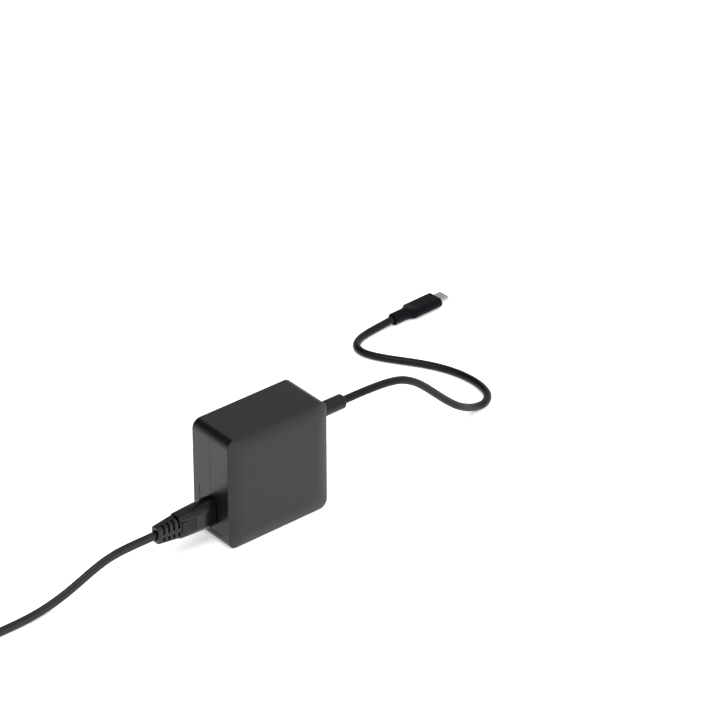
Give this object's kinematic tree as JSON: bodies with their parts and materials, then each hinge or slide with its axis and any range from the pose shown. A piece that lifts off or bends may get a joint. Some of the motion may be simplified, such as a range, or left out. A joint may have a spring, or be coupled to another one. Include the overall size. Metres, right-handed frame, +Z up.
{
  "type": "notebook power adapter",
  "caption": "Upright cushion-faced notebook power adapter with a figure-8 mains inlet, its detachable coiled mains lead, and a fixed low-voltage lead ending in a flat reversible plug.",
  "frame": {"origin": "middle of the housing's narrow bottom face, which stands on the surface", "axes": "+Z up, +X towards the side with the low-voltage lead, -X towards the mains inlet, -Y out of the large front face"},
  "size_m": [0.4539, 0.1278, 0.066],
  "materials": {
    "housing": "dark grey polycarbonate with a fine satin surface",
    "black_plastic": "black, semi-matt",
    "brass": "plain",
    "board": "green solder resist",
    "component_black": "moulded epoxy",
    "component_blue": "epoxy coating",
    "component_yellow": "moulded film-capacitor case",
    "ferrite": "sintered, dull",
    "enamelled_copper": "enamelled winding wire",
    "capacitor_sleeve": "shrink sleeve on an aluminium can",
    "tape_yellow": "polyester tape over the windings",
    "can_aluminium": "drawn can",
    "copper": "copper sheet",
    "pad_silicone": "soft thermal pad",
    "insulating_film": "insulating fish paper",
    "wire_sleeve": "insulated wire",
    "boot_rubber": "smooth moulded elastomer",
    "cable_jacket": "round jacket, satin",
    "plug_plastic": "smooth moulded grip",
    "plated_steel": "nickel-plated shell",
    "lead_rubber": "moulded vinyl, semi-gloss",
    "tie_plastic": "plastic-coated wire",
    "blade_metal": "nickel-plated brass blade"
  },
  "bodies": {
    "adapter": {"front_cover": "housing", "rear_cover": "housing", "inlet_socket": "black_plastic", "inlet_pins": "brass", "circuit_board": "board", "fuse": "component_black", "surge_suppressor": "component_blue", "filter_capacitor": "component_yellow", "choke_core": "ferrite", "choke_winding": "enamelled_copper", "bridge_rectifier": "component_black", "bulk_capacitor": "capacitor_sleeve", "transformer_core": "ferrite", "transformer_bobbin": "tape_yellow", "power_switch": "component_black", "safety_capacitor": "component_blue", "output_capacitors": "can_aluminium", "rectifier_switch": "component_black", "control_board": "board", "control_chip": "component_black", "rear_heat_spreader": "copper", "front_heat_spreader": "copper", "thermal_pads": "pad_silicone", "insulating_sheet": "insulating_film", "output_wires": "wire_sleeve", "output_boot": "boot_rubber", "output_cable": "cable_jacket", "usb_plug_grip": "plug_plastic", "usb_plug_shell": "plated_steel", "usb_plug_contacts": "black_plastic"},
    "mains_lead": {"connector_grip": "lead_rubber", "connector_nose": "black_plastic", "connector_sleeves": "brass", "mains_cord": "lead_rubber", "mains_coil": "lead_rubber", "cord_tie": "tie_plastic", "wall_plug_grip": "lead_rubber", "wall_plug_blades": "blade_metal"}
  },
  "joints": [
    {"name": "mains_lead_slide", "type": "slide", "parent": "adapter", "child": "mains_lead", "axis": [-1, 0, 0], "range_m": [0, 0.02]}
  ]
}
